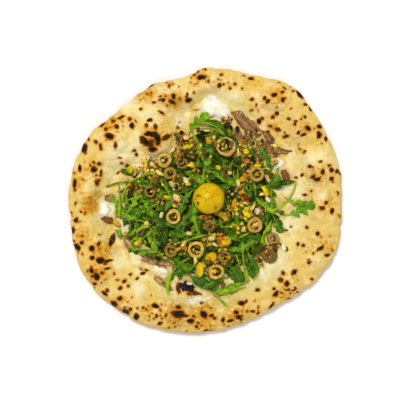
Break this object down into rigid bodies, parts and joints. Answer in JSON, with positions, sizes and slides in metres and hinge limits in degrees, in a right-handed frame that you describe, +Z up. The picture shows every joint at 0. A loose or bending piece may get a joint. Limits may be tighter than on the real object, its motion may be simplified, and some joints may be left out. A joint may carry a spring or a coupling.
{
  "type": "neapolitan pizza",
  "caption": "Round flat pizza with a wide puffed charred rim, melted cheese, and a heap of rocket leaves with nuts, olive rings, yellow tomato and cooked meat.",
  "frame": {"origin": "middle of the flat underside, on the surface it lies on", "axes": "+Z up through the thickness; +X to the right and +Y to the top of the pizza as seen from straight above in the picture"},
  "size_m": [0.297, 0.2887, 0.0496],
  "materials": {
    "dough": "matte baked dough with brown and black char spots",
    "melt": "soft satin melted cheese",
    "cheese": "wet white fresh cheese",
    "meat": "moist cooked meat",
    "burnt": "charred",
    "greens": "fresh leaf",
    "olive": "oily",
    "tomato": "glossy skin"
  },
  "bodies": {
    "root": {"dough": "dough", "cheese_melt": "melt", "cheese_top": "cheese", "cheese_upper_left": "cheese", "cheese_right": "cheese", "cheese_left": "cheese", "cheese_lower_left": "cheese", "cheese_low": "cheese", "cheese_bottom": "cheese", "cheese_lower_right": "cheese", "cheese_far_right": "cheese", "meat_top": "meat", "meat_upper_right": "meat", "meat_upper_strip": "meat", "meat_right": "meat", "meat_left": "meat", "meat_far_left": "meat", "meat_lower_left": "meat", "meat_low": "meat", "meat_low_strip": "meat", "meat_bottom": "meat", "meat_upper_left": "meat", "burnt_flake": "burnt", "greens_heap": "greens", "tomato_whole": "tomato", "wedge_under": "tomato", "wedge_near": "tomato", "wedge_right": "tomato", "wedge_middle": "tomato", "wedge_low": "tomato", "wedge_nutty": "tomato", "wedge_strip": "tomato", "wedge_left": "tomato", "olive_01": "olive", "olive_02": "olive", "olive_03": "olive", "olive_04": "olive", "olive_05": "olive", "olive_06": "olive", "olive_07": "olive", "olive_08": "olive", "olive_09": "olive", "olive_10": "olive", "olive_11": "olive", "olive_12": "olive", "olive_13": "olive", "olive_14": "olive"}
  },
  "joints": []
}
